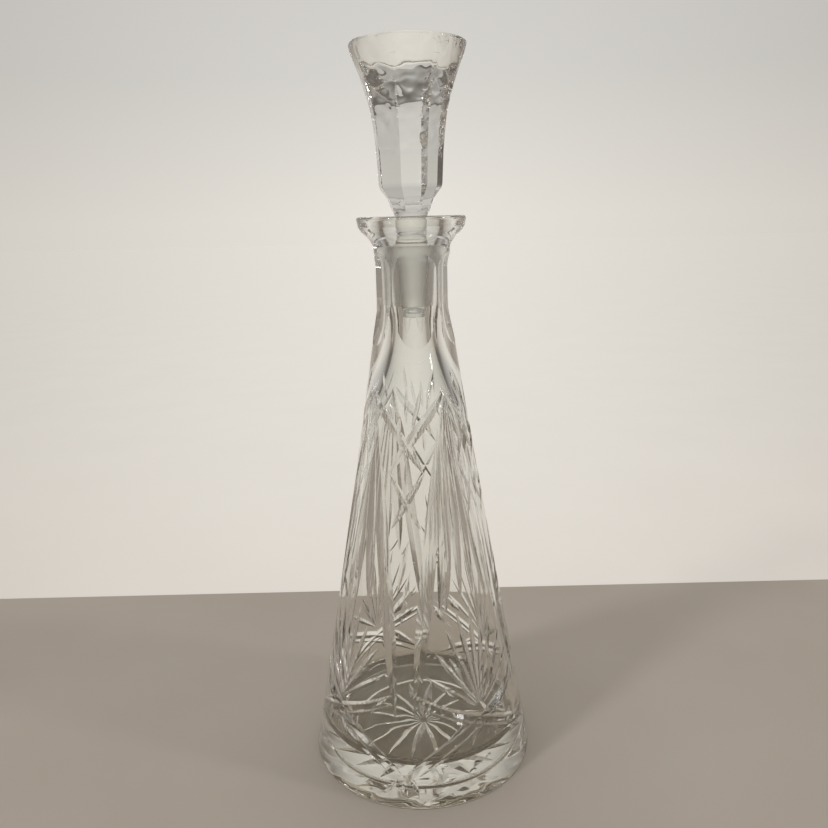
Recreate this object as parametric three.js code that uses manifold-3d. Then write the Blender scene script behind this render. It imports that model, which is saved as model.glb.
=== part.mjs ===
import * as THREE from 'three';
import { mergeVertices } from 'three/addons/utils/BufferGeometryUtils.js';
import Module from 'manifold-3d';

// A wine decanter of hand-cut lead crystal with its ground-in stopper.
// Millimetres, +Z up. The origin is the centre of the foot, on the surface that it stands on.
// Azimuths are in degrees, from -Y (the front) towards +X.

const wasm = await Module();
wasm.setup();

// Decanter body: a long cone with a solid base, a panelled neck and a rolled rim.
const ROUND_SIDES = 40;
const FOOT_RADIUS = 61.5;
const FOOT_EDGE = 1.2;
const CONE_BOTTOM_Z = 8;
const CONE_TOP_Z = 250;
const CONE_TOP_RADIUS = 19;
const CONE_SPREAD = 42.6;
const CONE_CURVE = 1.06;
const CONE_RINGS = 6;
const NECK_RADIUS = 19.2;
const NECK_TOP_Z = 280.5;
const RIM_TOP_Z = 296.6;
const RIM_RADIUS = 27.3;

// Cavity
const FLOOR_Z = 17;
const FLOOR_CORNER = 8;
const WALL = 5.5;
const SHOULDER_START_Z = 196;
const BORE_BOTTOM_Z = 244.5;

// How far a hollow's cutter runs past the surface that it opens
const OVERSHOOT = 5;

// Ground joint: a 1 in 10 taper on the diameter, the stopper seated 0.3 mm clear of the bore.
const PLUG_TOP_Z = 283.5;
const PLUG_TOP_RADIUS = 11.2;
const PLUG_BOTTOM_Z = 247;
const TAPER = 0.05;
const JOINT_GAP = 0.3;

// Five panels ground on the neck. Each is flat between two heights. Below them it leaves the glass
// along the rim of a large wheel, and above them it ends in a tight scoop under the rim.
const NECK_PANELS = 5;
const NECK_PANEL_AZIMUTH = 3;
const PANEL_DISTANCE = 15.8;
const PANEL_FLAT_FROM_Z = 258;
const PANEL_FLAT_TO_Z = 275;
const PANEL_LOWER_WHEEL = 55;
const PANEL_UPPER_SCOOP = 7;
const PANEL_HEIGHTS = [220, 232, 240, 249, 258, 275, 278, 280, 281.5];

// Cut pattern, repeated four times around: a column of crossed cuts, then a sheaf of long cuts.
const REPEATS = 4;
const COLUMN_AZIMUTH = -10;
const SHEAF_AZIMUTH = 35;
const SHEAF_TOP_Z = 213;
const FAN_ORIGIN_Z = 47;
const MITRE_HALF_ANGLE = 60;
const MITRE_HEIGHT = 4;

// Star cut under the foot
const STAR_RAYS = 16;
const STAR_RADIUS = 38;
const STAR_DEPTH = 1.5;
const FOOT_RECESS_RADIUS = 40;
const FOOT_RECESS = 1.2;

// Stopper: an eight-sided flared head on a round stem and a tapered plug.
const HEAD_SIDES = 8;
const HEAD_CORNER_AZIMUTH = -15;
const CORNER_FROM_WIDTH = 1 / Math.cos(THREE.MathUtils.degToRad(15));
const HEAD_TOP_Z = 375.4;
const DIMPLE_HEIGHT = 4.8;
const DIMPLE_RADIUS = 8.3;

function outerRadius(z) {
  const fromTop = Math.max(0, CONE_TOP_Z - z) / CONE_TOP_Z;
  return CONE_TOP_RADIUS + CONE_SPREAD * fromTop ** CONE_CURVE;
}

function plugRadius(z) {
  return PLUG_TOP_RADIUS - (PLUG_TOP_Z - z) * TAPER;
}

function boreRadius(z) {
  return plugRadius(z) + JOINT_GAP;
}

function cavityRadius(z) {
  const shoulder = Math.max(0, (z - SHOULDER_START_Z) / (BORE_BOTTOM_Z - SHOULDER_START_Z));
  const straight = outerRadius(z) - WALL;
  const blend = shoulder ** 2 * (3 - 2 * shoulder);
  return straight + (boreRadius(BORE_BOTTOM_Z) - straight) * blend;
}

// A closed solid from a three.js geometry, its faces turned outwards.
function solid(geometry) {
  const plain = geometry.clone();
  plain.deleteAttribute('normal');
  plain.deleteAttribute('uv');
  const merged = mergeVertices(plain, 1e-4);
  const positions = merged.attributes.position.array;
  const index = merged.index.array;
  const triangles = [];
  let volume = 0;
  const [a, b, c] = [new THREE.Vector3(), new THREE.Vector3(), new THREE.Vector3()];
  for (let i = 0; i < index.length; i += 3) {
    const [p, q, r] = [index[i], index[i + 1], index[i + 2]];
    if (p === q || q === r || r === p) continue;
    triangles.push([p, q, r]);
    a.fromArray(positions, 3 * p);
    b.fromArray(positions, 3 * q);
    c.fromArray(positions, 3 * r);
    volume += a.dot(b.cross(c));
  }
  if (volume < 0) triangles.forEach((triangle) => triangle.reverse());
  return new wasm.Manifold(new wasm.Mesh({
    numProp: 3,
    vertProperties: new Float32Array(positions),
    triVerts: new Uint32Array(triangles.flat()),
  }));
}

// A turned solid: the outline is a list of [radius, height] that starts and ends on the axis.
function turned(outline, sides, firstAzimuth = 0) {
  const points = outline.map(([radius, z]) => new THREE.Vector2(radius, z));
  const start = THREE.MathUtils.degToRad(firstAzimuth);
  return solid(new THREE.LatheGeometry(points, sides, start).rotateX(Math.PI / 2));
}

function around(azimuth, radius, z) {
  const angle = THREE.MathUtils.degToRad(azimuth);
  return new THREE.Vector3(radius * Math.sin(angle), -radius * Math.cos(angle), z);
}

// The way that a cutting wheel's edge takes through the glass. surface(t) gives the point on the
// glass and the direction out of it; the wheel sinks deepest at peak and lifts off at both ends.
class MitrePath extends THREE.Curve {
  constructor(surface, depth, peak) {
    super();
    this.surface = surface;
    this.depth = depth;
    this.peak = peak;
  }

  getPoint(t) {
    const { point, outward } = this.surface(t);
    const away = t < this.peak ? (this.peak - t) / this.peak : (t - this.peak) / (1 - this.peak);
    const sink = this.depth * (1 - 1.15 * away ** 2);
    return point.clone().addScaledVector(outward, -sink);
  }

  computeFrenetFrames(steps) {
    const frames = { tangents: [], normals: [], binormals: [] };
    for (let step = 0; step <= steps; step += 1) {
      const tangent = this.getTangentAt(step / steps);
      const { outward } = this.surface(this.getUtoTmapping(step / steps));
      const binormal = new THREE.Vector3().crossVectors(tangent, outward).normalize();
      frames.tangents.push(tangent);
      frames.binormals.push(binormal);
      frames.normals.push(new THREE.Vector3().crossVectors(binormal, tangent).normalize());
    }
    return frames;
  }
}

function mitre(surface, depth, peak, steps) {
  const halfWidth = MITRE_HEIGHT * Math.tan(THREE.MathUtils.degToRad(MITRE_HALF_ANGLE));
  const edge = new THREE.Shape([
    new THREE.Vector2(0, 0),
    new THREE.Vector2(MITRE_HEIGHT, halfWidth),
    new THREE.Vector2(MITRE_HEIGHT, -halfWidth),
  ]);
  const extrudePath = new MitrePath(surface, depth, peak);
  return solid(new THREE.ExtrudeGeometry(edge, { steps, extrudePath }));
}

// A cut on the cone from one [azimuth, height] to another, along the straight way between them.
function coneCut([fromAzimuth, fromZ], [toAzimuth, toZ], depth, peak, steps) {
  const from = around(fromAzimuth, outerRadius(fromZ), fromZ);
  const to = around(toAzimuth, outerRadius(toZ), toZ);
  const slope = (outerRadius(fromZ - 1) - outerRadius(fromZ + 1)) / 2;
  const surface = (t) => {
    const chord = from.clone().lerp(to, t);
    const out = new THREE.Vector3(chord.x, chord.y, 0).normalize();
    const point = out.clone().multiplyScalar(outerRadius(chord.z)).setZ(chord.z);
    return { point, outward: out.setZ(slope).normalize() };
  };
  return mitre(surface, depth, peak, steps);
}

function patternCuts() {
  const cuts = [];
  for (let repeat = 0; repeat < REPEATS; repeat += 1) {
    const column = COLUMN_AZIMUTH + 360 / REPEATS * repeat;
    const sheaf = SHEAF_AZIMUTH + 360 / REPEATS * repeat;
    for (const side of [-1, 1]) {
      // The sheaf: its outer cut runs nearly to the foot, beside the column.
      cuts.push(coneCut([sheaf, SHEAF_TOP_Z], [sheaf + 40 * side, 42], 2.1, 0.5, 5));
      cuts.push(coneCut([sheaf, SHEAF_TOP_Z], [sheaf + 18 * side, 98], 1.9, 0.6, 4));
      cuts.push(coneCut([sheaf, SHEAF_TOP_Z], [sheaf + 5.5 * side, 104], 1.5, 0.6, 3));
      // The column: two crossings below each other.
      cuts.push(coneCut([column + 45 * side, SHEAF_TOP_Z], [column - 17 * side, 171], 1.4, 0.45, 4));
      cuts.push(coneCut([column + 17 * side, 173], [column - 13 * side, 143], 0.9, 0.5, 3));
      // The swags: they cross below the fan and meet over the next column.
      cuts.push(coneCut([column, 18], [column + 90 * side, 63], 1.2, 0.5, 6));
      // The fan above the place where the swags cross.
      cuts.push(coneCut([sheaf, FAN_ORIGIN_Z], [sheaf + 20 * side, 92], 1.0, 0.6, 2));
      cuts.push(coneCut([sheaf, FAN_ORIGIN_Z], [sheaf + 35 * side, 72], 1.0, 0.6, 2));
    }
    cuts.push(coneCut([sheaf, FAN_ORIGIN_Z], [sheaf, 103], 1.0, 0.6, 2));
  }
  return cuts;
}

function starCuts() {
  const outward = new THREE.Vector3(0, 0, -1);
  return Array.from({ length: STAR_RAYS }, (_, ray) => {
    const azimuth = COLUMN_AZIMUTH + 360 / STAR_RAYS * ray;
    const surface = (t) => {
      const radius = THREE.MathUtils.lerp(1, STAR_RADIUS, t);
      return { point: around(azimuth, radius, FOOT_RECESS), outward };
    };
    return mitre(surface, STAR_DEPTH, 0.5, 2);
  });
}

function panelDistance(z) {
  const below = Math.max(0, PANEL_FLAT_FROM_Z - z);
  const above = Math.max(0, z - PANEL_FLAT_TO_Z);
  const scoop = PANEL_UPPER_SCOOP - Math.sqrt(PANEL_UPPER_SCOOP ** 2 - above ** 2);
  return PANEL_DISTANCE + below ** 2 / (2 * PANEL_LOWER_WHEEL) + scoop;
}

function neckPanels() {
  const width = 3 * NECK_RADIUS;
  const face = PANEL_HEIGHTS.map((z) => new THREE.Vector2(panelDistance(z), z));
  const back = [PANEL_HEIGHTS.at(-1), PANEL_HEIGHTS[0]].map((z) => new THREE.Vector2(width, z));
  const outline = new THREE.Shape([...face, ...back]);
  const wheel = new THREE.ExtrudeGeometry(outline, { depth: width, bevelEnabled: false, steps: 1 });
  wheel.translate(0, 0, -width / 2).rotateX(Math.PI / 2);
  return Array.from({ length: NECK_PANELS }, (_, panel) => {
    const azimuth = NECK_PANEL_AZIMUTH - 90 + 360 / NECK_PANELS * panel;
    return solid(wheel.clone().rotateZ(THREE.MathUtils.degToRad(azimuth)));
  });
}

function decanterBody() {
  const cone = Array.from({ length: CONE_RINGS + 1 }, (_, ring) => {
    const z = CONE_BOTTOM_Z + (CONE_TOP_Z - CONE_BOTTOM_Z) * ring / CONE_RINGS;
    return [outerRadius(z), z];
  });
  const outside = turned([
    [0, 0],
    [FOOT_RADIUS - FOOT_EDGE, 0],
    [FOOT_RADIUS - 0.3, 0.4],
    [FOOT_RADIUS, FOOT_EDGE],
    ...cone,
    [NECK_RADIUS, NECK_TOP_Z],
    [20.6, 284.6],
    [22.7, 287.2],
    [25.3, 289.3],
    [26.7, 291.8],
    [RIM_RADIUS, 294.4],
    [RIM_RADIUS, 295.6],
    [RIM_RADIUS - 1, RIM_TOP_Z],
    [0, RIM_TOP_Z],
  ], ROUND_SIDES);
  const wallHeights = [26, 80, 140, 196, 210, 220, 230, 238, 244.5];
  const floorRadius = cavityRadius(FLOOR_Z + FLOOR_CORNER);
  const cavity = turned([
    [0, FLOOR_Z],
    [floorRadius - FLOOR_CORNER, FLOOR_Z],
    [floorRadius - FLOOR_CORNER / 2, FLOOR_Z + 1.1],
    [floorRadius - 1.1, FLOOR_Z + FLOOR_CORNER / 2],
    ...wallHeights.map((z) => [cavityRadius(z), z]),
    [boreRadius(PLUG_TOP_Z + 1), PLUG_TOP_Z + 1],
    [12.4, 288],
    [13.4, 292],
    [14.2, RIM_TOP_Z - 1],
    [15.2, RIM_TOP_Z],
    [15.2, RIM_TOP_Z + OVERSHOOT],
    [0, RIM_TOP_Z + OVERSHOOT],
  ], ROUND_SIDES);
  const recess = turned([
    [0, FOOT_RECESS],
    [FOOT_RECESS_RADIUS - 2, FOOT_RECESS],
    [FOOT_RECESS_RADIUS, 0],
    [FOOT_RECESS_RADIUS, -OVERSHOOT],
    [0, -OVERSHOOT],
  ], ROUND_SIDES);
  const cutters = [recess, ...neckPanels(), ...patternCuts(), ...starCuts()];
  return cutters.reduce((glass, cutter) => glass.subtract(cutter), outside.subtract(cavity));
}

function stopper() {
  const widths = [
    [28.1, 374], [27, 370], [24.8, 364.6], [22.7, 359], [20.9, 354], [19.3, 348.5], [18.1, 343],
    [17.1, 336], [16.1, 327], [15.6, 311], [11.4, 304.9], [9.2, 298.8],
  ];
  const head = turned([
    [0, 298.8],
    ...widths.map(([width, z]) => [width * CORNER_FROM_WIDTH, z]).reverse(),
    [27.2 * CORNER_FROM_WIDTH, HEAD_TOP_Z],
    [0, HEAD_TOP_Z],
  ], HEAD_SIDES, HEAD_CORNER_AZIMUTH);
  const plug = turned([
    [0, PLUG_BOTTOM_Z + DIMPLE_HEIGHT],
    [0.4 * DIMPLE_RADIUS, PLUG_BOTTOM_Z + 0.9 * DIMPLE_HEIGHT],
    [0.75 * DIMPLE_RADIUS, PLUG_BOTTOM_Z + 0.6 * DIMPLE_HEIGHT],
    [DIMPLE_RADIUS, PLUG_BOTTOM_Z],
    [plugRadius(PLUG_BOTTOM_Z) - 0.4, PLUG_BOTTOM_Z],
    [plugRadius(PLUG_BOTTOM_Z + 1), PLUG_BOTTOM_Z + 1],
    [PLUG_TOP_RADIUS, PLUG_TOP_Z],
    [10.2, 284.6],
    [8.6, 286.4],
    [7.7, 290],
    [8.1, 296],
    [9, 299],
    [9, 303],
    [0, 303],
  ], ROUND_SIDES);
  return head.add(plug);
}

// A named mesh from a finished solid.
function piece(name, shape, material) {
  const mesh = shape.getMesh();
  const geometry = new THREE.BufferGeometry();
  geometry.setAttribute('position', new THREE.BufferAttribute(mesh.vertProperties, 3));
  geometry.setIndex(new THREE.BufferAttribute(mesh.triVerts, 1));
  geometry.computeVertexNormals();
  const result = new THREE.Mesh(geometry, material);
  result.name = name;
  return result;
}

const bodyGlass = new THREE.MeshStandardMaterial({
  color: 0xd3d2c8, roughness: 0.03, metalness: 0, transparent: true, opacity: 0.4,
});
const stopperGlass = new THREE.MeshStandardMaterial({
  color: 0xdcdbd0, roughness: 0.03, metalness: 0, transparent: true, opacity: 0.4,
});

const decanter = new THREE.Group();
decanter.add(piece('decanter_body', decanterBody(), bodyGlass));
decanter.add(piece('stopper', stopper(), stopperGlass));

export default decanter;
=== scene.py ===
import math

import bmesh
import bpy
import numpy as np
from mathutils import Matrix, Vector


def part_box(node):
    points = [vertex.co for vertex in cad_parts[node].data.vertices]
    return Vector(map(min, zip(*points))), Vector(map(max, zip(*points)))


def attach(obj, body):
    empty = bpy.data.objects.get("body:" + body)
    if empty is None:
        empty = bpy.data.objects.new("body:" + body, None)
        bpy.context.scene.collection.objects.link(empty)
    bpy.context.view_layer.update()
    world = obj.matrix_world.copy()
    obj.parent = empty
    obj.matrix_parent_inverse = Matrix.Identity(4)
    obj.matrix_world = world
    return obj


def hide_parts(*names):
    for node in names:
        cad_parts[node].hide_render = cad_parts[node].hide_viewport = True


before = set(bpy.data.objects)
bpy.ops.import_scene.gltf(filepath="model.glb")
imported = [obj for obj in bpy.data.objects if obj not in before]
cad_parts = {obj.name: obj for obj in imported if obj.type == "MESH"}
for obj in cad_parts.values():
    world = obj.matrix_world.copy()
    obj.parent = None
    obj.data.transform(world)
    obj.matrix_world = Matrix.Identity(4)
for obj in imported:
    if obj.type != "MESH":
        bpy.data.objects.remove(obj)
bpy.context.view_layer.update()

# A cut lead crystal decanter and its ground stopper. Metres, +Z up, the foot on z = 0.
# Azimuths are in degrees, from -Y (the front) towards +X.
MM = 0.001
_, body_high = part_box("decanter_body")
stopper_low, stopper_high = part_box("stopper")

# Decanter body
ROUND_SIDES = 256
FOOT_RADIUS = body_high.x
RIM_TOP = body_high.z
CONE_TOP = 250 * MM
CONE_TOP_RADIUS = 19 * MM
CONE_SPREAD = 42.6 * MM
CONE_CURVE = 1.06
NECK_RADIUS = 19.2 * MM
NECK_TOP = 280.5 * MM

# Cavity and ground joint
FLOOR = 17 * MM
FLOOR_CORNER = 8 * MM
WALL = 5.5 * MM
SHOULDER_START = 196 * MM
BORE_BOTTOM = 244.5 * MM
PLUG_TOP = 283.5 * MM
PLUG_TOP_RADIUS = 11.2 * MM
PLUG_BOTTOM = stopper_low.z
TAPER = 0.05
JOINT_GAP = 0.3 * MM
GROUND_BOTTOM = 255.6 * MM
GROUND_RADIUS_LIMIT = 13 * MM
BORE_BELOW_GROUND = GROUND_BOTTOM - 3 * MM
BORE_MOUTH = PLUG_TOP + 0.4 * MM
BLOWN_UP_TO = 48 * MM

# Neck panels
NECK_PANELS = 5
NECK_PANEL_AZIMUTH = 3
NECK_PANEL_AZIMUTHS = [NECK_PANEL_AZIMUTH + 360 / NECK_PANELS * panel for panel in range(NECK_PANELS)]
PANEL_DISTANCE = 15.8 * MM
PANEL_FLAT_FROM = 258 * MM
PANEL_FLAT_TO = 271 * MM
PANEL_LOWER_WHEEL = 55 * MM
PANEL_UPPER_SCOOP = 12 * MM

# Cut pattern
REPEATS = 4
COLUMN_AZIMUTH = -10
SHEAF_AZIMUTH = 35
SHEAF_TOP = 213 * MM
FAN_ORIGIN = 47 * MM
MITRE_HALF_ANGLE = math.radians(60)
MITRE_HEIGHT = 4 * MM
MITRE_TIP_RADIUS = 0.35 * MM

# Star cut under the foot
STAR_RAYS = 16
STAR_RADIUS = 38 * MM
STAR_DEPTH = 1.5 * MM
FOOT_RECESS_RADIUS = 40 * MM
FOOT_RECESS = 1.2 * MM

# Stopper
HEAD_SIDES = 8
HEAD_SIDE_ANGLE = 360 / HEAD_SIDES
HEAD_CORNER_AZIMUTH = -15
HEAD_TOP = stopper_high.z
HEAD_ROUND_FROM = 354 * MM
HEAD_ROUND_TO = 374 * MM
HEAD_ROUNDNESS = 0.8
HOLLOW_GROUND_FROM = 326 * MM
NOTCH_HEIGHTS = np.arange(345, 368, 5.5) * MM
NOTCH_HALF_LENGTH = 5 * MM
NOTCH_DEPTH = 0.5 * MM
DIMPLE_HEIGHT = 4.8 * MM
DIMPLE_RADIUS = 8.3 * MM

# Finishes, in the order of the material slots
POLISHED, CUT, GROUND, BLOWN, HOLLOW_GROUND = range(5)

# A face keeps a surface's finish when it lies this near to it and leans this little from it.
NEAR_SURFACE = 0.06 * MM
ALONG_SURFACE = math.cos(math.radians(12))
SHARP_FROM = math.radians(22)

# Lead crystal: the tint of the thick glass at the foot changes to that of the thin glass over a height.
REFRACTION = 1.545
THICK_TINT = (0.88, 0.845, 0.745, 1)
THIN_TINT = (0.97, 0.972, 0.95, 1)
TINT_HEIGHT = 45 * MM

# Camera
CAMERA_PLACE = Vector((-0.0008, -0.393, RIM_TOP))
CAMERA_PITCH = math.radians(-14.49)
CAMERA_ROLL = math.radians(-1.35)
CAMERA_LENS = 33.3

# The floor keeps a hair's breadth of air under the foot, so that light leaves the glass there.
FLOOR_LEVEL = -0.1 * MM
FLOOR_HALF_WIDTH = 9

# The bright wall behind the decanter, and the room
WALL_GLOW_WIDTH = 0.7
WALL_GLOW_HEIGHT = 0.45
WALL_GLOW_BEHIND = 0.18
WALL_GLOW_RADIANCE = 0.255
WALL_GLOW_SPREAD = math.radians(125)
LIGHT_TARGET = (0, 0, 0.2)
ROOM_HORIZON = (0.225, 0.195, 0.16, 1)
ROOM_WALL_LOW = (0.13, 0.115, 0.1, 1)
ROOM_WALL_HIGH = (0.12, 0.107, 0.095, 1)
ROOM_CEILING = (0.58, 0.565, 0.54, 1)


def outer_radius(z):
    from_top = max(0.0, CONE_TOP - z) / CONE_TOP
    return CONE_TOP_RADIUS + CONE_SPREAD * from_top**CONE_CURVE


def plug_radius(z):
    return PLUG_TOP_RADIUS - (PLUG_TOP - z) * TAPER


def bore_radius(z):
    return plug_radius(z) + JOINT_GAP


def cavity_radius(z):
    shoulder = max(0.0, (z - SHOULDER_START) / (BORE_BOTTOM - SHOULDER_START))
    blend = shoulder**2 * (3 - 2 * shoulder)
    straight = outer_radius(z) - WALL
    return straight + (bore_radius(BORE_BOTTOM) - straight) * blend


def panel_distance(z):
    below = max(0.0, PANEL_FLAT_FROM - z)
    above = min(PANEL_UPPER_SCOOP, max(0.0, z - PANEL_FLAT_TO))
    scoop = PANEL_UPPER_SCOOP - math.sqrt(PANEL_UPPER_SCOOP**2 - above**2)
    return PANEL_DISTANCE + below**2 / (2 * PANEL_LOWER_WHEEL) + scoop


def arc(centre, radius, start, end, steps):
    """Points of a round stretch of an outline, angles in degrees from the direction away from the axis."""
    angles = np.radians(np.linspace(start, end, steps + 1))
    return [(centre[0] + radius * math.cos(a), centre[1] + radius * math.sin(a)) for a in angles]


def smooth_through(points, steps):
    """Points of a Catmull-Rom curve through an outline's points."""
    padded = [points[0], *points, points[-1]]
    result = [points[0]]
    for a, b, c, d in zip(padded, padded[1:], padded[2:], padded[3:]):
        for step in range(1, steps + 1):
            t = step / steps
            weights = (-t + 2 * t**2 - t**3, 2 - 5 * t**2 + 3 * t**3, t + 4 * t**2 - 3 * t**3, t**3 - t**2)
            result.append(tuple(sum(w * p[i] for w, p in zip(weights, (a, b, c, d))) / 2 for i in (0, 1)))
    return result


def around(azimuth, radius, z):
    angle = math.radians(azimuth)
    return Vector((radius * math.sin(angle), -radius * math.cos(angle), z))


def new_object(name, vertices, faces):
    mesh = bpy.data.meshes.new(name)
    mesh.from_pydata([tuple(v) for v in vertices], [], faces)
    mesh.update()
    made = bpy.data.objects.new(name, mesh)
    bpy.context.scene.collection.objects.link(made)
    return made


def outward(made):
    """Turns every face of a closed mesh outwards."""
    shape = bmesh.new()
    shape.from_mesh(made.data)
    bmesh.ops.remove_doubles(shape, verts=shape.verts, dist=1e-8)
    bmesh.ops.recalc_face_normals(shape, faces=shape.faces)
    if shape.calc_volume(signed=True) < 0:
        bmesh.ops.reverse_faces(shape, faces=shape.faces)
    shape.to_mesh(made.data)
    shape.free()
    return made


def round_section(azimuth, radius, z):
    return radius


def turned(name, outline, sides, first_azimuth=0.0, section=round_section):
    """A solid on the axis, from (radius, height) points that start and end there, with a given section."""
    vertices = []
    rings = []
    for radius, z in outline:
        if radius < 1e-9:
            rings.append([len(vertices)] * sides)
            vertices.append((0, 0, z))
            continue
        rings.append(list(range(len(vertices), len(vertices) + sides)))
        for side in range(sides):
            azimuth = first_azimuth + 360 * side / sides
            vertices.append(around(azimuth, section(azimuth, radius, z), z))
    faces = []
    for lower, upper in zip(rings, rings[1:]):
        for side in range(sides):
            after = (side + 1) % sides
            corners = list(dict.fromkeys((lower[side], lower[after], upper[after], upper[side])))
            if len(corners) > 2:
                faces.append(corners)
    return outward(new_object(name, vertices, faces))


def boolean(made, other, operation="DIFFERENCE"):
    """Joins or cuts made with other, and removes other."""
    step = made.modifiers.new(operation.lower(), "BOOLEAN")
    step.operation = operation
    step.solver = "MANIFOLD"
    step.object = other
    with bpy.context.temp_override(object=made, active_object=made):
        bpy.ops.object.modifier_apply(modifier=step.name)
    bpy.data.meshes.remove(other.data)


def mitre_section():
    """The rim of a mitre wheel: two walls that meet in a small round tip. (across, outward) points."""
    wall_start = math.degrees(math.pi / 2 - MITRE_HALF_ANGLE)
    centre = MITRE_TIP_RADIUS
    tip = arc((0, centre), MITRE_TIP_RADIUS, -90 - wall_start, -90 + wall_start, 4)
    edge_across, edge_height = tip[-1]
    top_across = edge_across + (MITRE_HEIGHT - edge_height) * math.tan(MITRE_HALF_ANGLE)
    return [(-top_across, MITRE_HEIGHT), *tip, (top_across, MITRE_HEIGHT)]


MITRE_SECTION = mitre_section()


def sweep(path, outwards):
    """Vertices and faces of the mitre section taken along a path, opening to the outward directions."""
    vertices = []
    count = len(MITRE_SECTION)
    for index, (point, out) in enumerate(zip(path, outwards)):
        before = path[max(0, index - 1)]
        after = path[min(len(path) - 1, index + 1)]
        along = (after - before).normalized()
        across = along.cross(out).normalized()
        up = across.cross(along).normalized()
        vertices += [point + across * x + up * y for x, y in MITRE_SECTION]
    faces = [list(range(count)), list(range(len(vertices) - 1, len(vertices) - 1 - count, -1))]
    for station in range(len(path) - 1):
        first = station * count
        for corner in range(count):
            after = (corner + 1) % count
            faces.append([first + corner, first + count + corner, first + count + after, first + after])
    return vertices, faces


def sunk_path(surface, depth, peak, fullness, steps):
    """The way of the wheel's tip: deepest at peak, off the glass at both ends, full for most of the way if
    its fullness is high."""
    path = []
    outwards = []
    for step in range(steps + 1):
        t = step / steps
        point, out = surface(t)
        away = (peak - t) / peak if t < peak else (t - peak) / (1 - peak)
        path.append(point - out * depth * (1 - 1.15 * away**fullness))
        outwards.append(out)
    return path, outwards


def cone_surface(start, end):
    """The point on the cone and the way out of it, along the straight way from start to end."""
    first = around(start[0], outer_radius(start[1]), start[1])
    last = around(end[0], outer_radius(end[1]), end[1])

    def surface(t):
        chord = first.lerp(last, t)
        out = Vector((chord.x, chord.y, 0)).normalized()
        point = out * outer_radius(chord.z)
        point.z = chord.z
        slope = (outer_radius(chord.z - MM) - outer_radius(chord.z + MM)) / (2 * MM)
        out.z = slope
        return point, out.normalized()

    return surface


def pattern():
    """Every cut of one repeat: start and end as (azimuth, height in mm), depth in mm, peak and fullness."""
    column = COLUMN_AZIMUTH
    sheaf = SHEAF_AZIMUTH
    apex = SHEAF_TOP / MM
    origin = FAN_ORIGIN / MM
    cuts = []
    for side in (-1, 1):
        # The sheaf of long cuts under the apex. Its outer cut runs nearly to the foot, beside the column.
        cuts.append(((sheaf, apex), (sheaf + 40 * side, 42), 2.3, 0.5, 3))
        cuts.append(((sheaf, apex), (sheaf + 18 * side, 98), 2.0, 0.6, 3))
        cuts.append(((sheaf, apex), (sheaf + 5.5 * side, 104), 1.5, 0.6, 2.6))
        # The column of crossed cuts, and the small blades round it
        cuts.append(((column + 45 * side, apex), (column - 17 * side, 171), 1.45, 0.45, 3))
        cuts.append(((column + 18 * side, 174), (column - 13 * side, 143), 1.0, 0.5, 2.4))
        cuts.append(((column + 9 * side, 198), (column + 17 * side, 215), 0.6, 0.5, 2))
        cuts.append(((column + 22 * side, 207), (column + 33 * side, 222), 0.6, 0.5, 2))
        cuts.append(((column + 25 * side, 190), (column + 21 * side, 199), 0.5, 0.5, 2))
        cuts.append(((column + 6 * side, 193), (column + 11 * side, 206), 0.5, 0.5, 2))
        # The swags that cross under the fan and meet over the next column, each with a finer one beside it
        cuts.append(((column, 17), (column + 90 * side, 63), 1.3, 0.5, 2.6))
        cuts.append(((column + 6 * side, 16), (column + 87 * side, 57), 0.8, 0.45, 2.4))
        # Short blades that hang from the place where the swags meet
        cuts.append(((column + 3 * side, 16), (column + 8 * side, 8), 0.7, 0.4, 2))
        # The fan above the place where the swags cross, and a smaller one that hangs from it
        for spread, top in ((11, 103), (19, 93), (27, 82), (34, 70)):
            cuts.append(((sheaf, origin), (sheaf + spread * side, top), 0.9, 0.6, 2))
        cuts.append(((sheaf + 3 * side, 42), (sheaf + 9 * side, 27), 0.7, 0.5, 2))
        cuts.append(((sheaf + 7 * side, 44), (sheaf + 23 * side, 33), 0.7, 0.5, 2))
    cuts.append(((sheaf, origin), (sheaf, 104), 0.9, 0.6, 2))
    cuts.append(((column, 196), (column, 215), 0.6, 0.5, 2))
    cuts.append(((column, 181), (column, 165), 0.6, 0.5, 2))
    cuts.append(((column + 2, 139), (column - 6, 111), 0.8, 0.5, 2))
    cuts.append(((column + 3, 124), (column - 3.5, 94), 0.8, 0.5, 2))
    cuts.append(((column, 16), (column, 6), 0.8, 0.4, 2))
    # Barbs between the outer cuts of two sheaves, and strokes beside them
    cuts.append(((column - 10, 100), (column + 8, 117), 1.1, 0.4, 2.4))
    cuts.append(((column - 11, 95), (column + 7, 106), 0.9, 0.4, 2.4))
    cuts.append(((column - 9, 93), (column + 5, 87), 1.0, 0.4, 2.4))
    cuts.append(((column + 19, 106), (column + 26, 96), 0.9, 0.5, 2))
    cuts.append(((column + 28, 110), (column + 38, 100), 0.8, 0.5, 2))
    cuts.append(((column + 27, 78), (column + 35, 63), 0.9, 0.5, 2))
    return cuts


def cut_all_round(made, surfaces, depth, peak, fullness, name):
    """Cuts the same groove in several places that don't touch."""
    vertices = []
    faces = []
    for surface in surfaces:
        length = (surface(1)[0] - surface(0)[0]).length
        steps = max(10, round(length / (3 * MM)))
        more, more_faces = sweep(*sunk_path(surface, depth, peak, fullness, steps))
        faces += [[corner + len(vertices) for corner in face] for face in more_faces]
        vertices += more
    boolean(made, outward(new_object(name, vertices, faces)))


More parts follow.
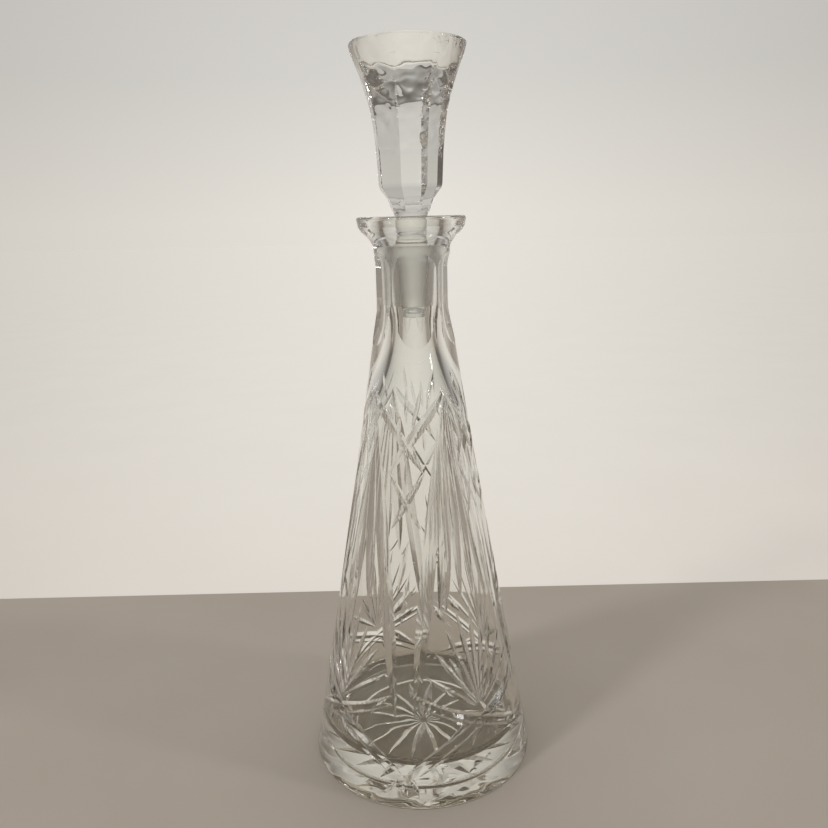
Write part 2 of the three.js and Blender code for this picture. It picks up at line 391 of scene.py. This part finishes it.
def body_outline():
    """The outline of the whole body, from the middle of the foot, up the outside, and down the inside."""
    edge = 0.9 * MM
    outside = [
        (0, FOOT_RECESS),
        (FOOT_RECESS_RADIUS - 2 * MM, FOOT_RECESS),
        (FOOT_RECESS_RADIUS - 1 * MM, FOOT_RECESS - 0.15 * MM),
        (FOOT_RECESS_RADIUS, 0.2 * MM),
        (FOOT_RECESS_RADIUS + 0.6 * MM, 0),
        (50 * MM, 0),
        *arc((FOOT_RADIUS - edge, edge), edge, -90, 0, 6),
    ]
    heights = np.linspace(3 * MM, CONE_TOP, 42)
    outside += [(outer_radius(z), z) for z in heights]
    rim = [
        (NECK_RADIUS, 256), (NECK_RADIUS, 268), (NECK_RADIUS, NECK_TOP / MM), (20.5 * MM, 284.3),
        (22.6 * MM, 287.1), (25.2 * MM, 289.5), (26.7 * MM, 291.9),
    ]
    outside += smooth_through([(r, z * MM) for r, z in rim], 4)
    rim_radius = 27.3 * MM
    outside += arc((rim_radius - 1.3 * MM, RIM_TOP - 1.3 * MM), 1.3 * MM, 0, 90, 6)
    inside = arc((16.2 * MM, RIM_TOP - 1.6 * MM), 1.6 * MM, 90, 170, 6)
    throat = [(13.9, 292.6), (13.0, 289.6), (12.1, 287), (bore_radius(PLUG_TOP) / MM + 0.15, 284.9)]
    inside += smooth_through([(r * MM, z * MM) for r, z in throat], 3)
    inside += [(bore_radius(z), z) for z in np.linspace(BORE_MOUTH, BORE_BELOW_GROUND, 8)]
    inside += [(bore_radius(z), z) for z in (250 * MM, 247 * MM, BORE_BOTTOM)]
    inside += [(cavity_radius(z), z) for z in np.linspace(BORE_BOTTOM - 1.5 * MM, FLOOR + FLOOR_CORNER, 60)]
    corner = cavity_radius(FLOOR + FLOOR_CORNER) - FLOOR_CORNER
    inside += arc((corner, FLOOR + FLOOR_CORNER), FLOOR_CORNER, -5, -90, 8)
    inside += [(corner * share, FLOOR) for share in (0.75, 0.5, 0.25, 0)]
    return outside + inside


def panel_heights():
    heights = [*np.linspace(222 * MM, PANEL_FLAT_FROM, 28), 262 * MM, 267 * MM]
    return heights + list(np.linspace(PANEL_FLAT_TO, PANEL_FLAT_TO + 0.9 * PANEL_UPPER_SCOOP, 16))


def neck_wheel(azimuth):
    """What grinds one neck panel away: a block whose inner face is the panel."""
    width = 30 * MM
    heights = panel_heights()
    outline = [(panel_distance(z), z) for z in heights]
    outer_face = panel_distance(heights[0]) + width
    outline += [(outer_face, heights[-1]), (outer_face, heights[0])]
    angle = math.radians(azimuth)
    across = Vector((math.cos(angle), math.sin(angle), 0))
    vertices = []
    for side in (-width, width):
        vertices += [around(azimuth, distance, z) + across * side for distance, z in outline]
    count = len(outline)
    faces = [list(range(count)), list(range(2 * count - 1, count - 1, -1))]
    faces += [[i, i + count, (i + 1) % count + count, (i + 1) % count] for i in range(count)]
    return outward(new_object("wheel", vertices, faces))


def make_body():
    outline = body_outline()
    made = turned("decanter_body_glass", outline, ROUND_SIDES)
    for azimuth in NECK_PANEL_AZIMUTHS:
        boolean(made, neck_wheel(azimuth))
    for number, (start, end, depth, peak, fullness) in enumerate(pattern()):
        surfaces = []
        for repeat in range(REPEATS):
            turn = 360 / REPEATS * repeat
            first = (start[0] + turn, start[1] * MM)
            last = (end[0] + turn, end[1] * MM)
            surfaces.append(cone_surface(first, last))
        cut_all_round(made, surfaces, depth * MM, peak, fullness, f"cut_{number}")
    for ray in range(STAR_RAYS):
        azimuth = COLUMN_AZIMUTH + 360 / STAR_RAYS * ray

        def surface(t, azimuth=azimuth):
            return around(azimuth, MM + (STAR_RADIUS - MM) * t, FOOT_RECESS), Vector((0, 0, -1))

        cut_all_round(made, [surface], STAR_DEPTH, 0.45, 2, "star")
    made.data.validate()
    finish_body_surface(made, outline)
    return made


def along_outline(outline, points):
    """For (radius, height) points: how far each is from an outline, and the way out of the outline there."""
    outline = np.array(outline)
    start = outline[:-1]
    step = outline[1:] - start
    normals = np.stack([step[:, 1], -step[:, 0]], 1)
    corner_normals = np.concatenate([normals[:1], normals[:-1] + normals[1:], normals[-1:]])
    corner_normals /= np.linalg.norm(corner_normals, axis=1)[:, None]
    gaps = np.empty(len(points))
    directions = np.empty((len(points), 2))
    for first in range(0, len(points), 4000):
        some = points[first:first + 4000, None, :]
        share = np.clip(((some - start) * step).sum(2) / (step**2).sum(1), 0, 1)
        gap = np.linalg.norm(some - start - share[:, :, None] * step, axis=2)
        nearest = gap.argmin(1)
        rows = np.arange(len(nearest))
        part = share[rows, nearest][:, None]
        gaps[first:first + 4000] = gap[rows, nearest]
        blend = corner_normals[nearest] * (1 - part) + corner_normals[nearest + 1] * part
        directions[first:first + 4000] = blend
    return gaps, directions / np.linalg.norm(directions, axis=1)[:, None]


def turned_normals(outline, points):
    """How far points are from a turned surface, and its exact normals there."""
    radius = np.hypot(points[:, 0], points[:, 1])
    gaps, directions = along_outline(outline, np.stack([radius, points[:, 2]], 1))
    level = points[:, :2] / np.maximum(radius, 1e-9)[:, None]
    return gaps, np.concatenate([level * directions[:, :1], directions[:, 1:]], 1)


def panel_normals(azimuth, points):
    """How far points are from one neck panel, and its exact normals there."""
    out = np.array(around(azimuth, 1, 0))
    outline = [(panel_distance(z), z) for z in panel_heights()]
    gaps, directions = along_outline(outline, np.stack([points @ out, points[:, 2]], 1))
    return gaps, out * directions[:, :1] + np.array([0, 0, 1]) * directions[:, 1:]


def read(collection, name, width=1, kind=np.float32):
    values = np.empty(len(collection) * width, kind)
    collection.foreach_get(name, values)
    return values.reshape(-1, width) if width > 1 else values


def finish_body_surface(made, outline):
    """Gives each face its finish, and the turned and panelled surfaces their exact normals."""
    harden(made)
    mesh = made.data
    points = read(mesh.vertices, "co", 3)
    centres = read(mesh.polygons, "center", 3)
    face_normals = read(mesh.polygons, "normal", 3)
    corners = read(mesh.loops, "vertex_index", kind=np.int32)
    face_sizes = read(mesh.polygons, "loop_total", kind=np.int32)
    corner_face = np.repeat(np.arange(len(mesh.polygons)), face_sizes)
    normals = read(mesh.corner_normals, "vector", 3)
    finish = np.full(len(mesh.polygons), CUT)
    surfaces = [lambda p, a=azimuth: panel_normals(a, p) for azimuth in NECK_PANEL_AZIMUTHS]
    surfaces.append(lambda p: turned_normals(outline, p))
    for surface in surfaces:
        gaps, exact = surface(centres)
        lies_on = (gaps < NEAR_SURFACE) & ((exact * face_normals).sum(1) > ALONG_SURFACE)
        finish[lies_on] = POLISHED
        chosen = lies_on[corner_face]
        normals[chosen] = surface(points[corners[chosen]])[1]
    radius = np.hypot(centres[:, 0], centres[:, 1])
    z = centres[:, 2]
    in_bore = (radius < GROUND_RADIUS_LIMIT) & (z > BORE_BELOW_GROUND) & (z < BORE_MOUTH)
    finish[in_bore] = GROUND
    low = (finish == POLISHED) & (z > FLOOR - MM) & (z < BLOWN_UP_TO)
    outside = np.interp(z, [FLOOR, BLOWN_UP_TO], [outer_radius(FLOOR), outer_radius(BLOWN_UP_TO)])
    finish[low & (radius < outside - WALL / 2)] = BLOWN
    dress(made, finish)
    ground_away = finish[corner_face] == CUT
    normals[ground_away] = face_normals[corner_face[ground_away]]
    mesh.normals_split_custom_set(normals)


def harden(made):
    """Keeps broad faces flat up to their small rounded edges, and marks the sharp edges."""
    made.data.shade_smooth()
    made.data.set_sharp_from_angle(angle=SHARP_FROM)
    step = made.modifiers.new("weights", "WEIGHTED_NORMAL")
    step.keep_sharp = True
    step.weight = 60
    with bpy.context.temp_override(object=made, active_object=made):
        bpy.ops.object.modifier_apply(modifier=step.name)


def head_section(azimuth, width, z):
    """Eight flat sides that grow round towards the top. The width is half of what shows from the front,
    where the outermost corner is turned from the silhouette by as much as the first one is from the front."""
    half_side = HEAD_SIDE_ANGLE / 2
    from_middle = math.radians((azimuth - HEAD_CORNER_AZIMUTH) % HEAD_SIDE_ANGLE - half_side)
    corner = width / math.cos(math.radians(HEAD_CORNER_AZIMUTH))
    flat = corner * math.cos(math.radians(half_side)) / math.cos(from_middle)
    roundness = HEAD_ROUNDNESS * min(1, max(0, (z - HEAD_ROUND_FROM) / (HEAD_ROUND_TO - HEAD_ROUND_FROM)))
    return flat * (1 - roundness) + width * roundness


def make_stopper():
    flare = [(28.1, 374), (27, 370), (24.8, 364.6), (22.7, 359), (20.9, 354), (19.3, 348.5), (17.95, 342)]
    prism = [(17.3, 336), (16.4, 327), (15.7, 312), (15.4, 310.6), (14.9, 309.6), (11.4, 304.9), (9.2, 298.8)]
    edge = [(27.0, 375.4), (27.6, 375.2), (28.0, 374.7)]
    outline = [(0, HEAD_TOP)]
    outline += [(r * MM, min(HEAD_TOP, z * MM)) for r, z in edge + smooth_through(flare, 4) + prism]
    outline.append((0, outline[-1][1]))
    made = turned("stopper_glass", outline, 8 * HEAD_SIDES, HEAD_CORNER_AZIMUTH, head_section)
    widths = [(z * MM, r * MM) for r, z in reversed(flare + prism)]
    for z in NOTCH_HEIGHTS:
        notches = []
        for side in range(HEAD_SIDES):
            azimuth = HEAD_CORNER_AZIMUTH + HEAD_SIDE_ANGLE * side
            width = np.interp(z, *zip(*widths))
            corner = around(azimuth, head_section(azimuth, width, z), z)
            along = around(azimuth + 90, NOTCH_HALF_LENGTH, 0)
            out = around(azimuth, 1, 0.15).normalized()

            def surface(t, corner=corner, along=along, out=out):
                return corner + along * (2 * t - 1), out

            notches.append(surface)
        cut_all_round(made, notches, NOTCH_DEPTH, 0.5, 2, "notch")
    plug = [(0, PLUG_BOTTOM + DIMPLE_HEIGHT)]
    for t in np.linspace(0.1, 1, 12):
        plug.append((DIMPLE_RADIUS * t, PLUG_BOTTOM + DIMPLE_HEIGHT * math.sqrt(1 - t**2)))
    plug += [
        (plug_radius(PLUG_BOTTOM) - 0.4 * MM, PLUG_BOTTOM),
        (plug_radius(PLUG_BOTTOM + MM), PLUG_BOTTOM + MM),
        (plug_radius(GROUND_BOTTOM), GROUND_BOTTOM),
        (PLUG_TOP_RADIUS, PLUG_TOP),
    ]
    stem = [(10.2, 284.6), (8.6, 286.4), (7.7, 290), (8.1, 296), (9, 299)]
    stem = [(PLUG_TOP_RADIUS, PLUG_TOP)] + [(r * MM, z * MM) for r, z in stem]
    plug += smooth_through(stem, 5)[1:]
    plug += [(9 * MM, 303 * MM), (0, 303 * MM)]
    boolean(made, turned("plug", plug, 96), "UNION")
    harden(made)
    mesh = made.data
    centres = read(mesh.polygons, "center", 3)
    normals = read(mesh.polygons, "normal", 3)
    z = centres[:, 2]
    on_taper = (z > GROUND_BOTTOM) & (z < PLUG_TOP) & (np.abs(normals[:, 2]) < 0.3)
    finish = np.where(on_taper, GROUND, POLISHED)
    on_head_side = (z > HOLLOW_GROUND_FROM) & (normals[:, 2] < 0.7)
    finish[on_head_side] = HOLLOW_GROUND
    dress(made, finish)
    return made


def dress(made, finish):
    """Gives a piece the crystal materials, and each of its faces its own finish."""
    made.data.materials.clear()
    for material in CRYSTALS:
        made.data.materials.append(material)
    made.data.polygons.foreach_set("material_index", finish.astype(np.int32))


def crystal(name, roughness, unevenness, grain, wave, lift):
    """Lead crystal, warmer where it is thick at the foot. Its finish is uneven at the size of the grain,
    and its surface wavy at the size of the wave, by the lift."""
    material = bpy.data.materials.new(name)
    material.use_nodes = True
    nodes = material.node_tree.nodes
    links = material.node_tree.links
    shader = nodes["Principled BSDF"]
    shader.inputs["Transmission Weight"].default_value = 1
    shader.inputs["IOR"].default_value = REFRACTION
    place = nodes.new("ShaderNodeTexCoord")
    parts = nodes.new("ShaderNodeSeparateXYZ")
    height = nodes.new("ShaderNodeMapRange")
    height.inputs["To Max"].default_value = 1 / TINT_HEIGHT
    height.clamp = False
    tint = nodes.new("ShaderNodeValToRGB")
    tint.color_ramp.elements[0].color = THICK_TINT
    tint.color_ramp.elements[1].color = THIN_TINT
    links.new(place.outputs["Object"], parts.inputs["Vector"])
    links.new(parts.outputs["Z"], height.inputs["Value"])
    links.new(height.outputs["Result"], tint.inputs["Fac"])
    links.new(tint.outputs["Color"], shader.inputs["Base Color"])
    finish = nodes.new("ShaderNodeTexNoise")
    finish.inputs["Scale"].default_value = grain
    finish.inputs["Detail"].default_value = 3
    finish_range = nodes.new("ShaderNodeMapRange")
    finish_range.inputs["From Min"].default_value = 0.35
    finish_range.inputs["From Max"].default_value = 0.75
    finish_range.inputs["To Min"].default_value = roughness
    finish_range.inputs["To Max"].default_value = roughness + unevenness
    links.new(place.outputs["Object"], finish.inputs["Vector"])
    links.new(finish.outputs["Fac"], finish_range.inputs["Value"])
    links.new(finish_range.outputs["Result"], shader.inputs["Roughness"])
    waviness = nodes.new("ShaderNodeTexNoise")
    waviness.inputs["Scale"].default_value = wave
    waviness.inputs["Detail"].default_value = 1
    bump = nodes.new("ShaderNodeBump")
    bump.inputs["Distance"].default_value = lift
    links.new(place.outputs["Object"], waviness.inputs["Vector"])
    links.new(waviness.outputs["Fac"], bump.inputs["Height"])
    links.new(bump.outputs["Normal"], shader.inputs["Normal"])
    return material


def make_camera():
    camera = bpy.data.objects.new("camera", bpy.data.cameras.new("camera"))
    bpy.context.scene.collection.objects.link(camera)
    camera.data.lens = CAMERA_LENS
    camera.data.clip_start = 0.01
    camera.location = CAMERA_PLACE
    camera.rotation_euler = (math.pi / 2 + CAMERA_PITCH, 0, 0)
    camera.rotation_euler.rotate_axis("Z", CAMERA_ROLL)
    bpy.context.scene.camera = camera


def make_stage():
    half = FLOOR_HALF_WIDTH
    corners = [(x, y, FLOOR_LEVEL) for x, y in ((-half, -half), (half, -half), (half, half), (-half, half))]
    floor = new_object("floor", corners, [[0, 1, 2, 3]])
    material = bpy.data.materials.new("floor_paint")
    material.use_nodes = True
    nodes = material.node_tree.nodes
    links = material.node_tree.links
    shader = nodes["Principled BSDF"]
    place = nodes.new("ShaderNodeTexCoord")
    clouds = nodes.new("ShaderNodeTexNoise")
    clouds.inputs["Scale"].default_value = 9
    clouds.inputs["Detail"].default_value = 6
    tone = nodes.new("ShaderNodeValToRGB")
    tone.color_ramp.elements[0].color = (0.56, 0.49, 0.42, 1)
    tone.color_ramp.elements[1].color = (0.64, 0.57, 0.5, 1)
    links.new(place.outputs["Object"], clouds.inputs["Vector"])
    links.new(clouds.outputs["Fac"], tone.inputs["Fac"])
    links.new(tone.outputs["Color"], shader.inputs["Base Color"])
    shader.inputs["Roughness"].default_value = 0.7
    floor.data.materials.append(material)


def area_light(name, place, target, size, power, colour=(1, 1, 1)):
    data = bpy.data.lights.new(name, "AREA")
    data.shape = "RECTANGLE"
    data.size, data.size_y = size
    data.energy = power
    data.color = colour
    light = bpy.data.objects.new(name, data)
    bpy.context.scene.collection.objects.link(light)
    light.location = place
    light.rotation_euler = (Vector(target) - Vector(place)).to_track_quat("-Z", "Y").to_euler()
    return light


def make_lights():
    world = bpy.data.worlds.new("studio")
    world.use_nodes = True
    nodes = world.node_tree.nodes
    links = world.node_tree.links
    place = nodes.new("ShaderNodeTexCoord")
    parts = nodes.new("ShaderNodeSeparateXYZ")
    height = nodes.new("ShaderNodeValToRGB")
    height.color_ramp.elements[0].color = ROOM_HORIZON
    height.color_ramp.elements[1].color = ROOM_CEILING
    height.color_ramp.elements[1].position = 0.8
    height.color_ramp.elements.new(0.16).color = ROOM_WALL_LOW
    height.color_ramp.elements.new(0.5).color = ROOM_WALL_HIGH
    links.new(place.outputs["Generated"], parts.inputs["Vector"])
    links.new(parts.outputs["Z"], height.inputs["Fac"])
    links.new(height.outputs["Color"], nodes["Background"].inputs["Color"])
    bpy.context.scene.world = world
    middle = WALL_GLOW_HEIGHT / 2
    size = (WALL_GLOW_WIDTH, WALL_GLOW_HEIGHT)
    power = WALL_GLOW_RADIANCE * math.pi * WALL_GLOW_WIDTH * WALL_GLOW_HEIGHT
    behind = (0, WALL_GLOW_BEHIND, middle)
    wall = area_light("wall_glow", behind, (0, -1, middle), size, power, (1, 0.995, 0.95))
    wall.data.spread = WALL_GLOW_SPREAD
    wall.visible_camera = True
    area_light("key", (-0.7, -0.5, 1.1), LIGHT_TARGET, (0.12, 0.12), 2.5)
    area_light("fill", (0.9, -0.3, 0.6), LIGHT_TARGET, (0.1, 0.25), 1.2)


make_camera()
make_stage()
make_lights()
CRYSTALS = [
    crystal("crystal_polished", 0.0, 0.03, 120, 35, 0.16 * MM),
    crystal("crystal_cut", 0.08, 0.08, 400, 120, 0.05 * MM),
    crystal("crystal_ground", 0.36, 0.14, 1500, 2500, 0.01 * MM),
    crystal("crystal_blown", 0.0, 0.04, 120, 70, 0.7 * MM),
    crystal("crystal_hollow_ground", 0.0, 0.04, 200, 95, 1.5 * MM),
]
body = make_body()
stopper = make_stopper()

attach(body, "decanter")
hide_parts("decanter_body")
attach(stopper, "stopper")
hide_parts("stopper")

bpy.context.scene.view_settings.view_transform = "Standard"
settings = bpy.context.scene.cycles
settings.max_bounces = 32
settings.transmission_bounces = 32
settings.glossy_bounces = 16
settings.transparent_max_bounces = 32
